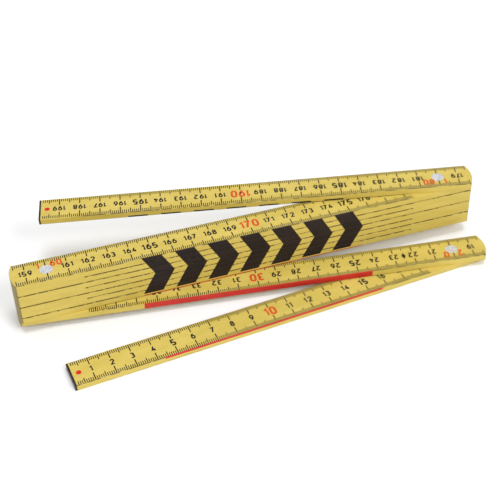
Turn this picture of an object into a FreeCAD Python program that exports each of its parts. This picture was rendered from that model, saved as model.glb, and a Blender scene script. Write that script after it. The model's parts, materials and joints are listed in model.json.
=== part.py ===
import FreeCAD, Part
import math
import os
import Sketcher
from FreeCAD import Placement, Rotation, Vector

# A two metre folding rule. Ten flat leaves lie on top of each other and turn on
# nine riveted spring joints. Every leaf is drawn in its own frame: x runs along
# the scale from its low mark, y across the leaf, z up from the plane shared with
# the leaf below. Odd joints stand at the right end of the stack, even at the left.

os.makedirs("parts", exist_ok=True)
doc = FreeCAD.newDocument("FoldingRule")

LEAVES = 10
SIZES = [
    ("span", 200.0),           # pivot to pivot, twenty centimetres of scale
    ("leafwidth", 15.5),
    ("pitch", 3.4),            # height of one leaf in the stack
    ("relief", 0.1),           # each leaf face is set back this much off the joints
    ("hingegap", 0.04),        # running gap between the two faces of a joint
    ("endradius", 17.3),       # rounded leaf end, centred on its pivot
    ("bosslength", 16.0),      # joint face, from pivot to step
    ("edgeround", 0.3),
    ("shankradius", 1.5),
    ("headradius", 3.1),
    ("headheight", 0.6),
    ("headinset", 0.02),
    ("headplay", 0.03),
    ("boreplay", 0.03),
    ("dimpleradius", 1.0),
    ("dimpledepth", 0.15),
    ("plateradius", 6.5),
    ("platewidth", 10.0),
    ("plateplay", 0.05),
    ("springthick", 0.4),
    ("detentthick", 0.5),
    ("detentsink", 0.2),       # detent plate lies this far below the joint face
    ("bumpheight", 0.2),
    ("bumpradius", 0.6),
    ("socketradius", 0.75),
    ("bumpcircle", 4.5),
    ("capthick", 0.9),
    ("capinset", 0.2),         # each side of a cap stands in from the side of its leaf
    ("tangwidth", 6.0),
    ("tanglength", 8.0),
    ("tangthick", 0.6),
    ("tangplay", 0.05),
    ("pinradius", 1.3),
    ("pinplace", 4.0),
    ("pinraise", 0.1),
    ("pinround", 0.05),
    ("openone", 12.7),         # how far each open joint stands off its folded place
    ("opentwo", 7.2),
    ("opennine", 11.9),
]

sheet = doc.addObject("Spreadsheet::Sheet", "Sizes")
for row, (alias, value) in enumerate(SIZES, start=1):
    sheet.set("A%d" % row, alias)
    sheet.set("B%d" % row, str(value))
    sheet.setAlias("B%d" % row, alias)
doc.recompute()
VALUES = dict(SIZES)

# The axes and origin of a sketch, as its constraints name them.
X_AXIS = -1
Y_AXIS = -2
ORIGIN = (X_AXIS, 1)

BUMPS = 2
SOCKETS = 4                    # one at each quarter turn
BODIES = []


def cell(words):
    """Write the size names in a formula as references to the sheet."""
    out = []
    for word in words.split():
        out.append("Sizes." + word if word in VALUES else word)
    return " ".join(out)


def number(words):
    """Starting value of a formula, so that every sketch is drawn near its answer."""
    total = 0.0
    sign = 1.0
    term = 0.0
    parts = words.replace("(", " ").replace(")", " ").split()
    for place, word in enumerate(parts):
        if word in ("+", "-"):
            total += term
            term = 0.0
            sign = 1.0 if word == "+" else -1.0
        elif word != "/" and parts[place - 1] == "/":
            term /= float(word)
        elif word != "/":
            term = sign * (VALUES[word] if word in VALUES else float(word))
    return total + term


def new_body(label):
    body = doc.addObject("PartDesign::Body", label)
    body.Label = label
    BODIES.append(body)
    return body


def new_sketch(body, role, x="0", z="0"):
    """Sketch on an origin plane of the body, moved by x along and z up."""
    sketch = body.newObject("Sketcher::SketchObject", body.Name + "Sketch")
    plane = [p for p in body.Origin.OriginFeatures if p.Role == role][0]
    sketch.AttachmentSupport = [(plane, "")]
    sketch.MapMode = "FlatFace"
    sketch.setExpression("AttachmentOffset.Base.x", cell(x))
    sketch.setExpression("AttachmentOffset.Base.z", cell(z))
    return sketch


def tie(sketch, name, constraint, words):
    index = sketch.addConstraint(constraint)
    sketch.renameConstraint(index, name)
    sketch.setExpression("Constraints." + name, cell(words))


def hold_x(sketch, name, geo, point, words):
    """Fix the x of a point, keeping it on the axis when the distance is nothing."""
    place = number(words)
    if words == "0":
        sketch.addConstraint(Sketcher.Constraint("PointOnObject", geo, point, Y_AXIS))
    else:
        rule = Sketcher.Constraint("DistanceX", ORIGIN[0], ORIGIN[1], geo, point, place)
        tie(sketch, name, rule, words)


def end_curve(sketch, kind, words, side, half, radius):
    """Closing curve at one end: side is 1 for the right end and -1 for the left."""
    middle = number(words)
    if kind == "flat":
        low = Vector(middle, -side * half, 0)
        high = Vector(middle, side * half, 0)
        return sketch.addGeometry(Part.LineSegment(low, high), False)
    lean = math.asin(half / radius)
    turn = 0.0 if side > 0 else math.pi
    circle = Part.Circle(Vector(middle, 0, 0), Vector(0, 0, 1), radius)
    return sketch.addGeometry(Part.ArcOfCircle(circle, turn - lean, turn + lean), False)


def strip(sketch, left, right, width, radius):
    """Straight sided outline closed by an arc about a centre, or by a flat, each end."""
    half = number(width) / 2
    reach = number(radius)
    run = math.sqrt(max(reach * reach - half * half, 0.0))
    x0 = number(left[1]) - (run if left[0] == "arc" else 0.0)
    x1 = number(right[1]) + (run if right[0] == "arc" else 0.0)
    top = sketch.addGeometry(Part.LineSegment(Vector(x1, half, 0), Vector(x0, half, 0)), False)
    low = sketch.addGeometry(Part.LineSegment(Vector(x0, -half, 0), Vector(x1, -half, 0)), False)
    end_right = end_curve(sketch, right[0], right[1], 1, half, reach)
    end_left = end_curve(sketch, left[0], left[1], -1, half, reach)
    for first, last in ((low, end_right), (end_right, top), (top, end_left), (end_left, low)):
        sketch.addConstraint(Sketcher.Constraint("Coincident", first, 2, last, 1))
    sketch.addConstraint(Sketcher.Constraint("Horizontal", top))
    sketch.addConstraint(Sketcher.Constraint("Horizontal", low))
    above = Sketcher.Constraint("DistanceY", ORIGIN[0], ORIGIN[1], top, 2, half)
    below = Sketcher.Constraint("DistanceY", low, 1, ORIGIN[0], ORIGIN[1], half)
    tie(sketch, "above", above, "( " + width + " ) / 2")
    tie(sketch, "below", below, "( " + width + " ) / 2")
    for name, end, geo in (("left", left, end_left), ("right", right, end_right)):
        if end[0] == "arc":
            sketch.addConstraint(Sketcher.Constraint("PointOnObject", geo, 3, X_AXIS))
            hold_x(sketch, name + "centre", geo, 3, end[1])
            tie(sketch, name + "radius", Sketcher.Constraint("Radius", geo, reach), radius)
        else:
            sketch.addConstraint(Sketcher.Constraint("Vertical", geo))
            hold_x(sketch, name + "edge", geo, 1, end[1])


def disc(sketch, radius, x="0"):
    circle = Part.Circle(Vector(number(x), 0, 0), Vector(0, 0, 1), number(radius))
    geo = sketch.addGeometry(circle, False)
    sketch.addConstraint(Sketcher.Constraint("PointOnObject", geo, 3, X_AXIS))
    hold_x(sketch, "centre", geo, 3, x)
    tie(sketch, "radius", Sketcher.Constraint("Radius", geo, number(radius)), radius)


def feature(body, kind, sketch, length, upward=True):
    """Pad or pocket of the sketch, going up or down from its plane."""
    item = body.newObject("PartDesign::" + kind, body.Name + kind)
    item.Profile = sketch
    item.Type = 0
    item.setExpression("Length", cell(length))
    item.Reversed = upward if kind == "Pocket" else not upward
    sketch.Visibility = False
    before = body.Shape.Volume if kind == "Pocket" else 0.0
    doc.recompute()
    if kind == "Pocket" and not item.Shape.Volume < before - 1e-6:
        raise RuntimeError(item.Name + " removed nothing")
    return item


def spin(body, points):
    """Solid of revolution about z from (radius, height) corners given as formulas."""
    sketch = new_sketch(body, "XZ_Plane")
    spots = [Vector(number(r), number(z), 0) for r, z in points]
    for i, spot in enumerate(spots):
        line = Part.LineSegment(spot, spots[(i + 1) % len(spots)])
        sketch.addGeometry(line, False)
    for i, (r, z) in enumerate(points):
        last = (i - 1) % len(points)
        sketch.addConstraint(Sketcher.Constraint("Coincident", last, 2, i, 1))
        hold_x(sketch, "r%d" % i, i, 1, r)
        height = Sketcher.Constraint("DistanceY", ORIGIN[0], ORIGIN[1], i, 1, number(z))
        tie(sketch, "z%d" % i, height, z)
    turned = body.newObject("PartDesign::Revolution", body.Name + "Revolution")
    turned.Profile = sketch
    turned.ReferenceAxis = (sketch, ["V_Axis"])
    turned.Angle = 360
    sketch.Visibility = False
    doc.recompute()


def around(body, item, count):
    """Repeat a feature in a full circle about the body's z axis."""
    axis = [a for a in body.Origin.OriginFeatures if a.Role == "Z_Axis"][0]
    ring = body.newObject("PartDesign::PolarPattern", body.Name + "Ring")
    ring.Originals = [item]
    ring.Axis = (axis, [""])
    ring.Angle = 360
    ring.Occurrences = count
    body.Tip = ring
    doc.recompute()


def leaf_blank(body, first, last):
    """The flat strip with its long edges rounded; square at the ends of the rule."""
    left = ("flat", "capthick") if first else ("arc", "0")
    right = ("flat", "span - capthick") if last else ("arc", "span")
    outline = new_sketch(body, "XY_Plane", z="relief")
    strip(outline, left, right, "leafwidth", "endradius")
    blank = feature(body, "Pad", outline, "pitch - relief - relief")
    lengthwise = []
    for index, edge in enumerate(blank.Shape.Edges, start=1):
        if edge.BoundBox.XLength > VALUES["leafwidth"]:
            lengthwise.append("Edge%d" % index)
    soft = body.newObject("PartDesign::Fillet", body.Name + "Fillet")
    soft.Base = (blank, lengthwise)
    soft.setExpression("Radius", cell("edgeround"))
    doc.recompute()


def low_joint(body):
    """Upper half of the joint with the leaf below: face, spring seat, bore, head seat."""
    face = new_sketch(body, "XY_Plane", z="hingegap / 2")
    strip(face, ("arc", "0"), ("flat", "bosslength"), "leafwidth", "endradius")
    feature(body, "Pad", face, "pitch / 2 - hingegap / 2")
    seat = new_sketch(body, "XY_Plane", z="hingegap / 2")
    strip(seat, ("arc", "0"), ("arc", "0"), "platewidth + plateplay", "plateradius + plateplay")
    feature(body, "Pocket", seat, "springthick")
    bore = new_sketch(body, "XY_Plane", z="0")
    disc(bore, "shankradius + boreplay")
    feature(body, "Pocket", bore, "pitch")
    head = new_sketch(body, "XY_Plane", z="pitch - relief")
    disc(head, "headradius + boreplay")
    feature(body, "Pocket", head, "headheight + headinset + headplay", upward=False)


def high_joint(body):
    """Lower half of the joint with the leaf above."""
    face = new_sketch(body, "XY_Plane", z="pitch / 2")
    strip(face, ("flat", "span - bosslength"), ("arc", "span"), "leafwidth", "endradius")
    feature(body, "Pad", face, "pitch / 2 - hingegap / 2")
    seat = new_sketch(body, "XY_Plane", x="span", z="pitch - hingegap / 2")
    strip(seat, ("arc", "0"), ("arc", "0"), "platewidth + plateplay", "plateradius + plateplay")
    feature(body, "Pocket", seat, "detentthick + detentsink", upward=False)
    bore = new_sketch(body, "XY_Plane", x="span", z="0")
    disc(bore, "shankradius + boreplay")
    feature(body, "Pocket", bore, "pitch")
    head = new_sketch(body, "XY_Plane", x="span", z="relief")
    disc(head, "headradius + boreplay")
    feature(body, "Pocket", head, "headheight + headinset")


def tip_seat(body, edge, inner, pin):
    """Slot for the cap's tang and the pin hole, at a square end of the rule."""
    slot = new_sketch(body, "XY_Plane", z="pitch / 2 + tangthick / 2 + tangplay")
    strip(slot, ("flat", edge), ("flat", inner), "tangwidth + tangplay", "endradius")
    feature(body, "Pocket", slot, "tangthick + tangplay + tangplay", upward=False)
    hole = new_sketch(body, "XY_Plane", z="0")
    disc(hole, "pinradius", pin)
    feature(body, "Pocket", hole, "pitch")


def make_leaf(k):
    body = new_body("leaf_%02d" % k)
    first = k == 1
    last = k == LEAVES
    leaf_blank(body, first, last)
    if first:
        tip_seat(body, "capthick", "tanglength + capthick + tangplay", "pinplace")
    else:
        low_joint(body)
    if last:
        inner = "span - tanglength - capthick - tangplay"
        tip_seat(body, inner, "span - capthick", "span - pinplace")
    else:
        high_joint(body)
    return body


def make_rivet(k):
    """Flush rivet of a joint; z is measured from the joint plane."""
    body = new_body("rivet_%02d" % k)
    top = "pitch - relief - headinset"
    under = top + " - headheight"
    bottom = "0 - pitch + relief + headinset"
    over = bottom + " + headheight"
    spin(body, [
        ("0", bottom), ("headradius", bottom), ("headradius", over), ("shankradius", over),
        ("shankradius", under), ("headradius", under), ("headradius", top),
        ("dimpleradius", top), ("0", top + " - dimpledepth"),
    ])
    return body


def make_spring(k):
    """Spring plate let into the upper leaf, with two bumps on its lower face."""
    body = new_body("spring_%02d" % k)
    outline = new_sketch(body, "XY_Plane", z="hingegap / 2")
    strip(outline, ("arc", "0"), ("arc", "0"), "platewidth", "plateradius")
    feature(body, "Pad", outline, "springthick")
    bore = new_sketch(body, "XY_Plane", z="0")
    disc(bore, "shankradius + boreplay")
    feature(body, "Pocket", bore, "pitch")
    bump = new_sketch(body, "XY_Plane", z="hingegap / 2 - bumpheight")
    disc(bump, "bumpradius", "bumpcircle")
    around(body, feature(body, "Pad", bump, "bumpheight + springthick / 2"), BUMPS)
    return body


def make_detent(k):
    """Detent plate let into the lower leaf, with a socket at every quarter turn."""
    body = new_body("detent_%02d" % k)
    outline = new_sketch(body, "XY_Plane", z="0 - hingegap / 2 - detentsink - detentthick")
    strip(outline, ("arc", "0"), ("arc", "0"), "platewidth", "plateradius")
    feature(body, "Pad", outline, "detentthick")
    bore = new_sketch(body, "XY_Plane", z="0 - pitch")
    disc(bore, "shankradius + boreplay")
    feature(body, "Pocket", bore, "pitch")
    socket = new_sketch(body, "XY_Plane", z="0 - pitch")
    disc(socket, "socketradius", "bumpcircle")
    around(body, feature(body, "Pocket", socket, "pitch"), SOCKETS)
    return body


def make_cap(label):
    """Steel end strip; its outer face is the zero of x, its tang runs inward."""
    body = new_body(label)
    plate = new_sketch(body, "XY_Plane", z="relief")
    strip(plate, ("flat", "0"), ("flat", "capthick"), "leafwidth - capinset - capinset", "endradius")
    feature(body, "Pad", plate, "pitch - relief - relief")
    tang = new_sketch(body, "XY_Plane", z="pitch / 2 - tangthick / 2")
    strip(tang, ("flat", "capthick / 2"), ("flat", "capthick + tanglength"), "tangwidth", "endradius")
    feature(body, "Pad", tang, "tangthick")
    hole = new_sketch(body, "XY_Plane", z="0")
    disc(hole, "pinradius", "pinplace")
    feature(body, "Pocket", hole, "pitch")
    return body


def make_pin(label):
    """Red pin through the tip of a leaf, a little proud of the upper face."""
    body = new_body(label)
    top = "pitch - relief + pinraise"
    spin(body, [
        ("0", "relief + headinset"), ("pinradius", "relief + headinset"),
        ("pinradius", top + " - pinround"), ("pinradius - pinround - pinround", top), ("0", top),
    ])
    return body


def turned(x, y, z, angle):
    return Placement(Vector(x, y, z), Rotation(Vector(0, 0, 1), angle))


# Pose of the rule: leaves 3 to 9 folded together, 1, 2 and 10 fanned out a little.
SPAN = VALUES["span"]
PITCH = VALUES["pitch"]
HALF = SPAN / 2


def base_z(k):
    return (k - 1) * PITCH - VALUES["relief"]


def along(x, y, angle, distance):
    turn = math.radians(angle)
    return x + distance * math.cos(turn), y + distance * math.sin(turn)


def leaf_poses():
    """Low mark and heading of every leaf, keyed by its number."""
    poses = {}
    for k in range(3, LEAVES):
        poses[k] = (-HALF, 0.0, 0.0) if k % 2 else (HALF, 0.0, 180.0)
    poses[10] = (HALF, 0.0, 180.0 - VALUES["opennine"])
    heading_two = 180.0 - VALUES["opentwo"]
    x, y = along(-HALF, 0.0, heading_two, -SPAN)
    poses[2] = (x, y, heading_two)
    heading_one = heading_two - 180.0 + VALUES["openone"]
    x, y = along(x, y, heading_one, -SPAN)
    poses[1] = (x, y, heading_one)
    return poses


POSES = leaf_poses()
for k in range(1, LEAVES + 1):
    x, y, heading = POSES[k]
    make_leaf(k).Placement = turned(x, y, base_z(k), heading)

for k in range(1, LEAVES):
    x, y, above = POSES[k + 1]
    below = POSES[k][2]
    plane = base_z(k + 1)
    make_rivet(k).Placement = turned(x, y, plane, above)
    make_spring(k).Placement = turned(x, y, plane, above)
    make_detent(k).Placement = turned(x, y, plane, below)

x, y, heading = POSES[1]
make_cap("cap_zero").Placement = turned(x, y, base_z(1), heading)
x, y = along(x, y, heading, VALUES["pinplace"])
make_pin("pin_zero").Placement = turned(x, y, base_z(1), heading)
x, y, heading = POSES[10]
x, y = along(x, y, heading, SPAN)
make_cap("cap_end").Placement = turned(x, y, base_z(10), heading + 180.0)
x, y = along(x, y, heading, -VALUES["pinplace"])
make_pin("pin_end").Placement = turned(x, y, base_z(10), heading)

doc.recompute()


def whole_box():
    box = FreeCAD.BoundBox()
    for body in BODIES:
        box.add(body.Shape.BoundBox)
    return box


# The origin is the middle of the rule's outline, on the surface it lies on.
middle = whole_box().Center
for body in BODIES:
    place = body.Placement
    place.Base = place.Base - Vector(middle.x, middle.y, 0)
    body.Placement = place
doc.recompute()

for item in doc.Objects:
    if "Invalid" in item.State or "Error" in item.State:
        raise RuntimeError(item.Name + " did not build")
for body in BODIES:
    shape = body.Shape
    if shape.isNull() or not shape.isValid() or len(shape.Solids) != 1:
        raise RuntimeError(body.Label + " is not one valid solid")
for body in BODIES:
    body.Shape.exportStep(os.path.join("parts", body.Label + ".step"))

box = whole_box()
print("pieces", len(BODIES), "low", round(box.ZMin, 4))
print("size", round(box.XLength, 3), round(box.YLength, 3), round(box.ZLength, 3))
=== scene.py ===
from collections import namedtuple
import json
import math

import bpy
from mathutils import Matrix, Vector


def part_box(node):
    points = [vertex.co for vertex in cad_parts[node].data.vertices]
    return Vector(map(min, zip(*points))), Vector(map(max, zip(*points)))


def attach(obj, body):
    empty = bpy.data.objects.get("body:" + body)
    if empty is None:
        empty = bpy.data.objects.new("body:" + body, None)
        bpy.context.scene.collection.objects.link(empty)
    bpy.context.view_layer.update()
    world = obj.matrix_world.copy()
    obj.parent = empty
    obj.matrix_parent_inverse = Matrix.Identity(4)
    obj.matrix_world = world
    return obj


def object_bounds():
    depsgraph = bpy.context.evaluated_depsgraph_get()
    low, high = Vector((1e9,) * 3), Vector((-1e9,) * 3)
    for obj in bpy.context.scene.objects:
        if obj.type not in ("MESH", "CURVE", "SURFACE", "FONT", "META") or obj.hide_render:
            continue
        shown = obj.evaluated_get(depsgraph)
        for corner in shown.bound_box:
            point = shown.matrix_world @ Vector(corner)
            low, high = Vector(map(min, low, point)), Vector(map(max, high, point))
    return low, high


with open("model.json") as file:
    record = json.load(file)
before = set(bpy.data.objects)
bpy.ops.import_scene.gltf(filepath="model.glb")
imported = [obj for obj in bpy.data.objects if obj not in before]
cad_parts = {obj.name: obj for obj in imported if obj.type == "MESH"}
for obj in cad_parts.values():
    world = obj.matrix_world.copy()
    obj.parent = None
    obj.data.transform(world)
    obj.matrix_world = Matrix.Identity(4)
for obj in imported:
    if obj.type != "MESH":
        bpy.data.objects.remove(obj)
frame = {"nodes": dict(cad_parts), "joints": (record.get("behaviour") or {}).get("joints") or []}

# A folding rule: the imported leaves, rivets and caps keep their shapes and get their
# finish here, and the printed scale is laid on both faces as thin ink.

CAD_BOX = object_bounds()
MM = 0.001
CM = 0.01
LEAVES = 10
LEAF_CM = 20                # centimetres printed on one leaf

# Sizes of the leaf that the print follows, in metres.
SPAN = 200 * MM
HALF_WIDTH = (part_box("leaf_05")[1][1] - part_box("leaf_05")[0][1]) / 2
EDGE_ROUND = 0.3 * MM
SIDE_DEPTH = EDGE_ROUND + 0.08 * MM     # the side print runs this far in over the edge
JOINT_RISE = 0.08 * MM      # a joint face stands this far above the rest of the leaf
JOINT_REACH = 16.0 * MM     # from pivot to the step
TIP_CLEAR = 1.2 * MM
END_REACH = 15.6 * MM       # ticks past a pivot stop short of the rounded end
MARK_MARGIN = 0.3           # millimetres, room for the width of the first and last tick

# Ink.
INK_THICK = 0.012 * MM
TICK_EDGE = HALF_WIDTH - EDGE_ROUND     # outer end of every tick, across the leaf
TICK_WIDE = {"millimetre": 0.42 * MM, "half": 0.48 * MM, "centimetre": 0.56 * MM}
TICK_LONG = {"millimetre": 2.1 * MM, "half": 3.2 * MM, "centimetre": 4.6 * MM}
DIGIT_TALL = 3.7 * MM
FIVE_TALL = 4.3 * MM
TEN_TALL = 5.6 * MM
RIVET_TALL = 4.4 * MM
TEN_RAISE = 0.2 * MM
DIGIT_WIDE = 0.60           # these three are shares of a digit's height
DIGIT_STROKE = 0.205
DIGIT_GAP = 0.11
SHARPEST = 0.5              # keeps the outer point of a sharp corner short
ARC_STEP = 22.5             # degrees
DIAMOND_LEAF = 2
DIAMOND_PLACE = 2.5 * CM
DIAMOND_WIDE = 2.2 * MM
DIAMOND_TALL = 4.6 * MM
RIVET_RAISE = 3.5 * MM      # red numbers at a rivet sit above it and to its two sides
RIVET_SIDE = 3.6 * MM

# Print on the front side of the folded stack, measured from its left pivots.
BAND_START = 43.4 * MM
BAND_END = 157.0 * MM
BAND_LOW = 1.25 * MM        # above the foot of leaf 3
BAND_HIGH = 0.95 * MM       # above the foot of leaf 10
CHEVRONS = 7
CHEVRON_INK = 0.60
CHEVRON_LEAN = 6.5 * MM
CHEVRON_STEP = (BAND_END - BAND_START - CHEVRON_LEAN) / (CHEVRONS - 1 + CHEVRON_INK)
RED_LOW = 1.0 * MM          # below the head of leaf 1
RED_HIGH = 0.60 * MM        # above the foot of leaf 3

# Each of these colours drifts between two tones.
FACE_BLACK = ((0.010, 0.008, 0.007, 1.0), (0.030, 0.024, 0.018, 1.0))
FACE_RED = ((0.58, 0.070, 0.014, 1.0), (0.70, 0.105, 0.022, 1.0))
SIDE_BLACK = ((0.009, 0.004, 0.004, 1.0), (0.020, 0.010, 0.009, 1.0))
SIDE_RED = ((0.50, 0.020, 0.014, 1.0), (0.60, 0.032, 0.020, 1.0))
RIVET_STEEL = ((0.50, 0.50, 0.52, 1.0), (0.80, 0.80, 0.83, 1.0))
PLATE_STEEL = ((0.34, 0.34, 0.35, 1.0), (0.52, 0.52, 0.54, 1.0))
CAP_STEEL = ((0.030, 0.024, 0.022, 1.0), (0.095, 0.080, 0.074, 1.0))
PIN_RED = ((0.56, 0.018, 0.010, 1.0), (0.72, 0.040, 0.020, 1.0))

# Lacquer.
YELLOW_LOW = (0.610, 0.458, 0.083, 1.0)
YELLOW_HIGH = (0.695, 0.536, 0.118, 1.0)
GRAIN = (0.36, 0.250, 0.030, 1.0)
FLECK = (0.80, 0.68, 0.26, 1.0)
# painted shade: dark, broken dashes in the seams between stacked leaves
SEAM_SHADE = (0.040, 0.024, 0.008, 1.0)
# painted shade on the cut end faces of the leaves
END_SHADE = (0.200, 0.142, 0.034, 1.0)
SEAM_WIDE = 0.26 * MM
SEAM_DARK = 0.80
SEAM_FAINT = 0.25           # between the darker dashes
SEAM_DASH = 0.48            # noise above this makes a darker dash
END_FACE = 17.2 * MM        # the cut end, seen from its pivot
END_DARK = 0.80
GRAIN_SHARE = 0.20
FLECK_SHARE = 0.10
LACQUER_ROUGH = (0.42, 0.58)
LACQUER_SHINE = 0.25
COAT_SHARE = 0.06
COAT_ROUGH = 0.30
PAINT_SHINE = 0.2

# Noise frequencies per metre: along, across and up a leaf where there are three.
GRAIN_NOISE = (60.0, 1500.0, 2400.0)
DASH_NOISE = (330.0, 60.0, 900.0)
CLOUD_NOISE = (60.0, 160.0, 160.0)
FLECK_NOISE = 1800.0
FINE_NOISE = 900.0
FLOOR_NOISE = 3.0
NOISE_LOW = 0.3             # most of a noise lies between these two
NOISE_HIGH = 0.7

# Studio.
FLOOR_REACH = 6.0
FLOOR_GAP = 0.02 * MM       # below the foot of leaf 1, so that the ink there stays clear
FLOOR_TONES = ((0.93, 0.93, 0.935, 1.0), (0.95, 0.95, 0.955, 1.0))
FLOOR_ROUGH = 0.9
SKY = (0.97, 0.985, 1.0, 1.0)
SKY_STRENGTH = 0.64
LIGHTS = {"overhead": ((0.20, -0.60, 4.40), 1.6, 67.0), "front": ((1.60, -3.00, 3.00), 2.0, 80.0)}
VIEW_AZIMUTH = -16.78       # degrees, like the next two
VIEW_ELEVATION = 40.54
VIEW_ROLL = -1.73
VIEW_DISTANCE = 587 * MM
VIEW_ASIDE = (4.69 * MM, 15.65 * MM)    # aim point from the middle of the stack
SENSOR = 36.0               # millimetres, like the lens
LENS = 81.9
CLIP_START = 0.01

LeafFrame = namedtuple("LeafFrame", "origin heading foot head")
JOINTS = {int(j["name"][-2:]): Vector(j["pos_m"]) for j in frame["joints"]}


def middle(node):
    low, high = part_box(node)
    return (Vector(low) + Vector(high)) / 2


def leaf_name(k):
    return "leaf_%02d" % k


def leaf_frame(k):
    """Zero mark, heading, and heights of the two printed faces of a leaf."""
    start = JOINTS.get(k - 1, middle("pin_zero"))
    goal = JOINTS.get(k, middle("pin_end"))
    heading = math.atan2(goal.y - start.y, goal.x - start.x)
    along = Vector((math.cos(heading), math.sin(heading), 0.0))
    origin = JOINTS[k] - SPAN * along if k == 1 else start
    low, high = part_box(leaf_name(k))
    foot = low[2] + (JOINT_RISE if k > 1 else 0.0)
    head = high[2] - (JOINT_RISE if k < LEAVES else 0.0)
    return LeafFrame(origin, heading, foot, head)


FRAMES = {k: leaf_frame(k) for k in range(1, LEAVES + 1)}


# ---------------------------------------------------------------- materials

class Nodes:
    """Short hand for building one node material."""

    def __init__(self, name):
        self.material = bpy.data.materials.new(name)
        self.material.use_nodes = True
        self.tree = self.material.node_tree
        self.shader = self.tree.nodes["Principled BSDF"]

    def add(self, kind, **inputs):
        node = self.tree.nodes.new(kind)
        for key, value in inputs.items():
            self.feed(node.inputs[key.replace("_", " ")], value)
        return node

    def feed(self, socket, value):
        if isinstance(value, bpy.types.NodeSocket):
            self.tree.links.new(value, socket)
        else:
            socket.default_value = value

    def math(self, operation, first, second=0.0):
        node = self.tree.nodes.new("ShaderNodeMath")
        node.operation = operation
        self.feed(node.inputs[0], first)
        self.feed(node.inputs[1], second)
        return node.outputs[0]

    def between(self, value, low, high):
        above = self.math("GREATER_THAN", value, low)
        return self.math("MULTIPLY", above, self.math("LESS_THAN", value, high))

    def mix(self, factor, first, second):
        """Blend two colours; the numbers pick the colour sockets of the node."""
        node = self.tree.nodes.new("ShaderNodeMix")
        node.data_type = "RGBA"
        self.feed(node.inputs[0], factor)
        self.feed(node.inputs[6], first)
        self.feed(node.inputs[7], second)
        return node.outputs[2]

    def noise(self, vector, scale=1.0, detail=3.0):
        node = self.add("ShaderNodeTexNoise", Vector=vector, Scale=scale, Detail=detail)
        return node.outputs["Fac"]

    def spread(self, value, low, high):
        """Map the middle of a noise to low..high."""
        node = self.add("ShaderNodeMapRange", Value=value)
        node.inputs["From Min"].default_value = NOISE_LOW
        node.inputs["From Max"].default_value = NOISE_HIGH
        node.inputs["To Min"].default_value = low
        node.inputs["To Max"].default_value = high
        return node.outputs["Result"]

    def blend(self, noise, tones):
        """Colour that drifts between two tones."""
        return self.mix(self.spread(noise, 0.0, 1.0), *tones)

    def tint(self, colour, noise, share, tone):
        """Let a noise bring in up to a share of another tone."""
        return self.mix(self.math("MULTIPLY", self.spread(noise, 0.0, 1.0), share), colour, tone)

    def place(self, origin=(0.0, 0.0, 0.0), heading=0.0, scale=(1.0, 1.0, 1.0)):
        """Object coordinates, moved, turned and stretched."""
        where = self.tree.nodes.new("ShaderNodeTexCoord").outputs["Object"]
        moved = self.tree.nodes.new("ShaderNodeVectorMath")
        moved.operation = "SUBTRACT"
        self.feed(moved.inputs[0], where)
        moved.inputs[1].default_value = origin
        turned = self.add("ShaderNodeMapping", Vector=moved.outputs[0])
        turned.inputs["Rotation"].default_value = (0.0, 0.0, -heading)
        sized = self.add("ShaderNodeMapping", Vector=turned.outputs[0])
        sized.inputs["Scale"].default_value = scale
        return sized.outputs[0]

    def bump(self, height, strength, distance):
        node = self.add("ShaderNodeBump", Strength=strength, Distance=distance, Height=height)
        self.feed(self.shader.inputs["Normal"], node.outputs[0])


def leaf_place(n, k, scale=(1.0, 1.0, 1.0)):
    """Coordinates in a leaf's own frame: along and across the leaf, and up from the floor."""
    origin = FRAMES[k].origin
    return n.place((origin.x, origin.y, 0.0), FRAMES[k].heading, scale)


def add_grime(n, k, colour, axes, across, side):
    """Paint shade into the cut ends, and into the seams where no joint is tight."""
    along = axes.outputs["X"]
    height = axes.outputs["Z"]
    broken = n.noise(leaf_place(n, k, DASH_NOISE))
    from_foot = n.math("SUBTRACT", height, FRAMES[k].foot)
    from_head = n.math("SUBTRACT", FRAMES[k].head, height)
    # the seams at the two faces, where the painted seam shade falls
    at_foot = n.math("MULTIPLY", n.math("LESS_THAN", from_foot, SEAM_WIDE),
                     n.math("GREATER_THAN", along, JOINT_REACH))
    at_head = n.math("MULTIPLY", n.math("LESS_THAN", from_head, SEAM_WIDE),
                     n.math("LESS_THAN", along, SPAN - JOINT_REACH))
    dash = n.math("MAXIMUM", n.math("GREATER_THAN", broken, SEAM_DASH), SEAM_FAINT)
    seam = n.math("MULTIPLY", n.math("MULTIPLY", n.math("MAXIMUM", at_foot, at_head), side), dash)
    beyond = n.math("SUBTRACT", n.math("ABSOLUTE", n.math("SUBTRACT", along, SPAN / 2)), SPAN / 2)
    square = n.math("ADD", n.math("MULTIPLY", beyond, beyond), n.math("MULTIPLY", across, across))
    outside = n.math("GREATER_THAN", n.math("SQRT", square), END_FACE)
    ended = n.math("MULTIPLY", outside, n.math("GREATER_THAN", beyond, 0.0))
    # paint shade over the cut end faces
    colour = n.mix(n.math("MULTIPLY", ended, END_DARK), colour, END_SHADE)
    # paint shade into the seams
    return n.mix(n.math("MULTIPLY", seam, SEAM_DARK), colour, SEAM_SHADE)


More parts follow.
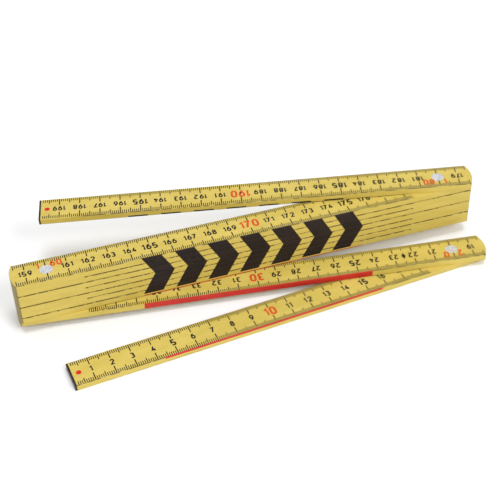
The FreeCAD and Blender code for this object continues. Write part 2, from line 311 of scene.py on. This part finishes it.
def add_side_print(n, k, colour, axes, side, cloud):
    """Lay the chevrons and the red bar over the front side of a leaf."""
    height = axes.outputs["Z"]
    if k % 2:
        run = axes.outputs["X"]
        front = n.math("LESS_THAN", axes.outputs["Y"], 0.0)
    else:
        run = n.math("SUBTRACT", SPAN, axes.outputs["X"])
        front = n.math("GREATER_THAN", axes.outputs["Y"], 0.0)
    onside = n.math("MULTIPLY", side, front)

    low = FRAMES[3].foot + BAND_LOW
    high = FRAMES[LEAVES].foot + BAND_HIGH
    share = n.math("DIVIDE", n.math("SUBTRACT", height, low), high - low)
    fold = n.math("ABSOLUTE", n.math("SUBTRACT", n.math("MULTIPLY", share, 2.0), 1.0))
    lean = n.math("MULTIPLY", n.math("SUBTRACT", 1.0, fold), CHEVRON_LEAN)
    shifted = n.math("SUBTRACT", n.math("SUBTRACT", run, BAND_START), lean)
    beat = n.math("DIVIDE", shifted, CHEVRON_STEP)
    stroke = n.math("LESS_THAN", n.math("FRACT", beat), CHEVRON_INK)
    stroke = n.math("MULTIPLY", stroke, n.between(beat, 0.0, CHEVRONS - 1 + CHEVRON_INK))
    dark = n.math("MULTIPLY", n.math("MULTIPLY", stroke, n.between(height, low, high)), onside)

    bar = n.math("MULTIPLY", n.between(run, BAND_START, BAND_END), onside)
    red = n.between(height, FRAMES[1].head - RED_LOW, FRAMES[3].foot + RED_HIGH)
    colour = n.mix(n.math("MULTIPLY", red, bar), colour, n.blend(cloud, SIDE_RED))
    return n.mix(dark, colour, n.blend(cloud, SIDE_BLACK))


def leaf_material(k):
    """Yellow lacquer over straight grain, with the side print of this leaf."""
    n = Nodes("lacquer_%02d" % k)
    here = leaf_place(n, k)
    grain = n.noise(leaf_place(n, k, GRAIN_NOISE), detail=4.0)
    cloud = n.noise(leaf_place(n, k, CLOUD_NOISE))
    fleck = n.noise(here, FLECK_NOISE, detail=2.0)
    colour = n.blend(cloud, (YELLOW_LOW, YELLOW_HIGH))
    colour = n.tint(colour, grain, GRAIN_SHARE, GRAIN)
    colour = n.tint(colour, fleck, FLECK_SHARE, FLECK)

    axes = n.add("ShaderNodeSeparateXYZ", Vector=here)
    across = n.math("ABSOLUTE", axes.outputs["Y"])
    side = n.math("GREATER_THAN", across, HALF_WIDTH - SIDE_DEPTH)
    # painted shade on the cut ends and in the seams
    colour = add_grime(n, k, colour, axes, across, side)
    colour = add_side_print(n, k, colour, axes, side, cloud)
    n.feed(n.shader.inputs["Base Color"], colour)
    n.feed(n.shader.inputs["Roughness"], n.spread(fleck, *LACQUER_ROUGH))
    n.shader.inputs["Specular IOR Level"].default_value = LACQUER_SHINE
    n.shader.inputs["Coat Weight"].default_value = COAT_SHARE
    n.shader.inputs["Coat Roughness"].default_value = COAT_ROUGH
    n.bump(grain, strength=0.25, distance=0.05 * MM)
    return n.material


def steel_material(name, tones, rough, metal=1.0):
    n = Nodes(name)
    grain = n.noise(n.place(), FINE_NOISE, detail=5.0)
    n.feed(n.shader.inputs["Base Color"], n.blend(grain, tones))
    n.feed(n.shader.inputs["Roughness"], n.spread(grain, *rough))
    n.shader.inputs["Metallic"].default_value = metal
    n.bump(grain, strength=0.35, distance=0.04 * MM)
    return n.material


def paint_material(name, tones, rough):
    n = Nodes(name)
    cloud = n.noise(n.place(), FINE_NOISE)
    n.feed(n.shader.inputs["Base Color"], n.blend(cloud, tones))
    n.feed(n.shader.inputs["Roughness"], n.spread(cloud, *rough))
    n.shader.inputs["Specular IOR Level"].default_value = PAINT_SHINE
    n.bump(cloud, strength=0.2, distance=0.02 * MM)
    return n.material


def finish_nodes():
    """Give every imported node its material."""
    families = {
        "rivet": steel_material("rivet_steel", RIVET_STEEL, rough=(0.42, 0.60), metal=0.45),
        "spring": steel_material("plate_steel", PLATE_STEEL, rough=(0.3, 0.45)),
        "cap": steel_material("cap_steel", CAP_STEEL, rough=(0.32, 0.52)),
        "pin": paint_material("pin_red", PIN_RED, rough=(0.22, 0.34)),
    }
    families["detent"] = families["spring"]
    for name, node in frame["nodes"].items():
        family = name.split("_")[0]
        if family == "leaf":
            material = leaf_material(int(name[-2:]))
        else:
            material = families[family]
        node.data.materials.clear()
        node.data.materials.append(material)


# ---------------------------------------------------------------- printed scale

def arc(x, y, across, up, start, stop):
    """Points on an ellipse from one angle to another, both in degrees."""
    steps = max(2, round(abs(stop - start) / ARC_STEP))
    angles = [math.radians(start + (stop - start) * i / steps) for i in range(steps + 1)]
    return [(x + across * math.cos(angle), y + up * math.sin(angle)) for angle in angles]


def digit_lines():
    """Centre lines of the ten digits: for each, its strokes and whether they close.

    Bare factors are shares of a digit's width or height; whole numbers in an arc are degrees.
    """
    wide = DIGIT_WIDE - DIGIT_STROKE
    tall = 1.0 - DIGIT_STROKE
    half = wide / 2
    cap = tall * 0.23           # half height of the upper bowl
    bowl = tall / 2 - cap       # half height of the lower bowl
    waist = 2 * bowl
    ring = arc(half, half, half, half, 180, 360) + arc(half, tall - half, half, half, 0, 180)
    ring_six = tall * 0.32      # half height of the ring of a six or a nine
    tail = wide * 0.86
    six = arc(tail, ring_six, tail, tall - ring_six, 95, 160)
    six += arc(half, ring_six, half, ring_six, 155, -195)
    upper = arc(half, tall - cap, half * 0.88, cap, 150, -90)
    lower = arc(half, bowl, half, bowl, 90, -150)
    return {
        "0": [(ring, True)],
        "1": [([(0.0, tall * 0.76), (wide * 0.48, tall), (wide * 0.48, 0.0)], False)],
        "2": [(arc(half, tall - half, half, half, 165, -35) + [(0.0, 0.0), (wide, 0.0)], False)],
        "3": [(upper[:-1] + lower, False)],
        "4": [([(wide * 0.52, tall), (0.0, tall * 0.26), (wide, tall * 0.26)], False),
              ([(wide * 0.70, tall * 0.50), (wide * 0.70, 0.0)], False)],
        "5": [([(wide * 0.92, tall), (wide * 0.08, tall), (0.0, waist * 0.94)]
               + arc(half, bowl, half, bowl, 115, -150), False)],
        "6": [(six, False)],
        "7": [([(0.0, tall), (wide, tall), (wide * 0.28, 0.0)], False)],
        "8": [(arc(half, tall - cap, half * 0.82, cap, -90, 252), True),
              (arc(half, bowl, half, bowl, -90, 252), True)],
        "9": [([(wide - x, tall - y) for x, y in six], False)],
    }


def corner(before, here, after):
    """Unit step across a line at a corner, drawn out so that its width holds."""
    steps = []
    for start, stop in ((before, here), (here, after)):
        if start != stop:
            length = math.dist(start, stop)
            steps.append(((start[1] - stop[1]) / length, (stop[0] - start[0]) / length))
    first, last = steps[0], steps[-1]
    draw = max(1.0 + first[0] * last[0] + first[1] * last[1], SHARPEST)
    return (first[0] + last[0]) / draw, (first[1] + last[1]) / draw


def ribbon(path, closed):
    """Solid of one stroke between z = 0 and 1, as points and faces."""
    count = len(path)
    points = []
    for z in (0.0, 1.0):
        for i, here in enumerate(path):
            before = path[i - 1] if closed or i > 0 else here
            after = path[(i + 1) % count] if closed or i < count - 1 else here
            x, y = corner(before, here, after)
            for side in (-DIGIT_STROKE / 2, DIGIT_STROKE / 2):
                points.append((here[0] + side * x, here[1] + side * y, z))
    faces = []
    over = 2 * count
    for i in range(count if closed else count - 1):
        right = 2 * i
        right_on = 2 * ((i + 1) % count)
        left = right + 1
        left_on = right_on + 1
        faces.append((right + over, right_on + over, left_on + over, left + over))
        faces.append((right, left, left_on, right_on))
        faces.append((right, right_on, right_on + over, right + over))
        faces.append((left_on, left, left + over, left_on + over))
    if not closed:
        last = over - 2
        faces.append((0, over, over + 1, 1))
        faces.append((last, last + 1, last + over + 1, last + over))
    return points, faces


def digit_shapes():
    """Solids of the ten digits, one unit tall and centred, each with its width."""
    shapes = {}
    for digit, strokes in digit_lines().items():
        points = []
        faces = []
        for path, closed in strokes:
            solid, skin = ribbon(path, closed)
            faces += [tuple(len(points) + i for i in face) for face in skin]
            points += solid
        low = min(p[0] for p in points)
        high = max(p[0] for p in points)
        middle_x = (low + high) / 2
        middle_y = (1.0 - DIGIT_STROKE) / 2
        shapes[digit] = ([(x - middle_x, y - middle_y, z) for x, y, z in points], faces, high - low)
    return shapes


DIGITS = digit_shapes()


def text_width(text, tall):
    return (sum(DIGITS[c][2] for c in text) + DIGIT_GAP * (len(text) - 1)) * tall


class Ink:
    """Thin closed solids lying on z = 0, gathered into one mesh."""

    def __init__(self):
        self.points = []
        self.faces = []

    def add(self, points, faces):
        start = len(self.points)
        self.points += points
        self.faces += [tuple(start + i for i in face) for face in faces]

    def prism(self, outline):
        """Flat solid over an outline that runs anticlockwise."""
        count = len(outline)
        points = [(x, y, z) for z in (0.0, INK_THICK) for x, y in outline]
        faces = [tuple(reversed(range(count))), tuple(range(count, 2 * count))]
        for i in range(count):
            after = (i + 1) % count
            faces.append((i, after, after + count, i + count))
        self.add(points, faces)

    def bar(self, x, y0, y1, wide):
        left = x - wide / 2
        right = x + wide / 2
        self.prism([(left, y0), (right, y0), (right, y1), (left, y1)])

    def digits(self, text, x, y, tall):
        """A number centred on x."""
        left = x - text_width(text, tall) / 2
        for c in text:
            points, faces, wide = DIGITS[c]
            spot = left + wide * tall / 2
            self.add([(spot + px * tall, y + py * tall, pz * INK_THICK) for px, py, pz in points], faces)
            left += (wide + DIGIT_GAP) * tall

    def piece(self, name, k, up, material):
        """Lay the ink on a leaf's upper or lower face and let it ride with the leaf."""
        origin, heading, foot, head = FRAMES[k]
        flip = Matrix() if up else Matrix.Rotation(math.pi, 4, "X")
        spot = Vector((origin.x, origin.y, head if up else foot))
        move = Matrix.Translation(spot) @ Matrix.Rotation(heading, 4, "Z") @ flip
        mesh = bpy.data.meshes.new(name)
        mesh.from_pydata([move @ Vector(p) for p in self.points], [], self.faces)
        mesh.materials.append(material)
        mesh.update()
        ink = bpy.data.objects.new(name, mesh)
        bpy.context.scene.collection.objects.link(ink)
        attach(ink, leaf_name(k))


def printed_marks(k, up):
    """First and last millimetre of the scale on one face, from the leaf's low mark."""
    first = -END_REACH if up else JOINT_REACH
    last = SPAN - JOINT_REACH if up else SPAN + END_REACH
    if k == 1:
        first = TIP_CLEAR
    if k == LEAVES:
        last = SPAN - TIP_CLEAR
    return math.ceil(first / MM + MARK_MARGIN), math.floor(last / MM - MARK_MARGIN)


def tick_kind(mark):
    if mark % 10 == 0:
        return "centimetre"
    return "half" if mark % 5 == 0 else "millimetre"


def rivet_number(ink, text, x):
    """The number at a rivet is split, its first digit before the head and the rest after."""
    ink.digits(text[0], x - RIVET_SIDE, RIVET_RAISE, RIVET_TALL)
    rest = text[1:]
    aside = RIVET_SIDE + (text_width(rest, RIVET_TALL) - text_width(rest[0], RIVET_TALL)) / 2
    ink.digits(rest, x + aside, RIVET_RAISE, RIVET_TALL)


def print_ticks(ink, first, last):
    for mark in range(first, last + 1):
        x = mark * MM
        kind = tick_kind(mark)
        ink.bar(x, TICK_EDGE - TICK_LONG[kind], TICK_EDGE, TICK_WIDE[kind])
        ink.bar(x, -TICK_EDGE, TICK_LONG[kind] - TICK_EDGE, TICK_WIDE[kind])


def print_diamond(ink):
    wide = DIAMOND_WIDE / 2
    tall = DIAMOND_TALL / 2
    x = DIAMOND_PLACE
    ink.prism([(x - wide, 0.0), (x, -tall), (x + wide, 0.0), (x, tall)])


def print_face(k, up, black, red):
    """Ticks at every millimetre and a number at every centimetre; the tens are red."""
    dark = Ink()
    bright = Ink()
    first, last = printed_marks(k, up)
    print_ticks(dark, first, last)
    rivet = 0 if up else LEAF_CM        # where a rivet's head shows, but for the rule's two tips
    for place in range(math.ceil(first / 10), math.floor(last / 10) + 1):
        number = (k - 1) * LEAF_CM + place
        x = place * CM
        if place == rivet and 0 < number < LEAVES * LEAF_CM:
            rivet_number(bright, str(number), x)
        elif number % 10 == 0:
            bright.digits(str(number), x, TEN_RAISE, TEN_TALL)
        elif number % 5 == 0:
            dark.digits(str(number), x, 0.0, FIVE_TALL)
        else:
            dark.digits(str(number), x, 0.0, DIGIT_TALL)
    if k == DIAMOND_LEAF and up:
        print_diamond(dark)
    side = "top" if up else "under"
    dark.piece("scale_%s_%02d" % (side, k), k, up, black)
    if bright.points:
        bright.piece("tens_%s_%02d" % (side, k), k, up, red)


def print_scale():
    black = paint_material("ink_black", FACE_BLACK, rough=(0.50, 0.62))
    red = paint_material("ink_red", FACE_RED, rough=(0.42, 0.54))
    for k in range(1, LEAVES + 1):
        print_face(k, True, black, red)
        print_face(k, False, black, red)


# ---------------------------------------------------------------- studio

def add_floor():
    mesh = bpy.data.meshes.new("floor")
    reach = FLOOR_REACH
    corners = [(-reach, -reach, 0), (reach, -reach, 0), (reach, reach, 0), (-reach, reach, 0)]
    mesh.from_pydata(corners, [], [(0, 1, 2, 3)])
    n = Nodes("floor_white")
    shade = n.noise(n.place(), FLOOR_NOISE)
    n.feed(n.shader.inputs["Base Color"], n.mix(shade, *FLOOR_TONES))
    n.shader.inputs["Roughness"].default_value = FLOOR_ROUGH
    mesh.materials.append(n.material)
    floor = bpy.data.objects.new("floor", mesh)
    floor.location.z = CAD_BOX[0][2] - FLOOR_GAP
    bpy.context.scene.collection.objects.link(floor)


def add_light(name, place, size, power):
    """A round light aimed at the origin."""
    light = bpy.data.lights.new(name, "AREA")
    light.shape = "DISK"
    light.size = size
    light.energy = power
    lamp = bpy.data.objects.new(name, light)
    lamp.location = place
    lamp.rotation_euler = (-Vector(place)).to_track_quat("-Z", "Y").to_euler()
    bpy.context.scene.collection.objects.link(lamp)


def add_lights():
    world = bpy.data.worlds.new("studio")
    world.use_nodes = True
    background = world.node_tree.nodes["Background"]
    background.inputs["Color"].default_value = SKY
    background.inputs["Strength"].default_value = SKY_STRENGTH
    bpy.context.scene.world = world
    for name, (place, size, power) in LIGHTS.items():
        add_light(name, place, size, power)
    bpy.context.scene.view_settings.view_transform = "Standard"


def add_camera():
    """Looks down from the front left at the middle of the stack."""
    azimuth = math.radians(VIEW_AZIMUTH)
    elevation = math.radians(VIEW_ELEVATION)
    roll = math.radians(VIEW_ROLL)
    stack = (JOINTS[3] + JOINTS[4]) / 2
    top = FRAMES[LEAVES - 1].head
    pitch = top - FRAMES[LEAVES - 2].head
    base = top - (LEAVES - 1) * pitch
    target = Vector((stack.x + VIEW_ASIDE[0], stack.y + VIEW_ASIDE[1], base))
    back = Vector((math.sin(azimuth) * math.cos(elevation),
                   -math.cos(azimuth) * math.cos(elevation), math.sin(elevation)))
    right = Vector((math.cos(azimuth), math.sin(azimuth), 0.0))
    up = back.cross(right)
    across = math.cos(roll) * right + math.sin(roll) * up
    upward = math.cos(roll) * up - math.sin(roll) * right
    turn = Matrix((across, upward, back)).transposed()
    lens = bpy.data.cameras.new("camera")
    lens.sensor_width = SENSOR
    lens.lens = LENS
    lens.clip_start = CLIP_START
    camera = bpy.data.objects.new("camera", lens)
    camera.matrix_world = Matrix.Translation(target + VIEW_DISTANCE * back) @ turn.to_4x4()
    bpy.context.scene.collection.objects.link(camera)
    bpy.context.scene.camera = camera


add_camera()
add_floor()
add_lights()
finish_nodes()
print_scale()
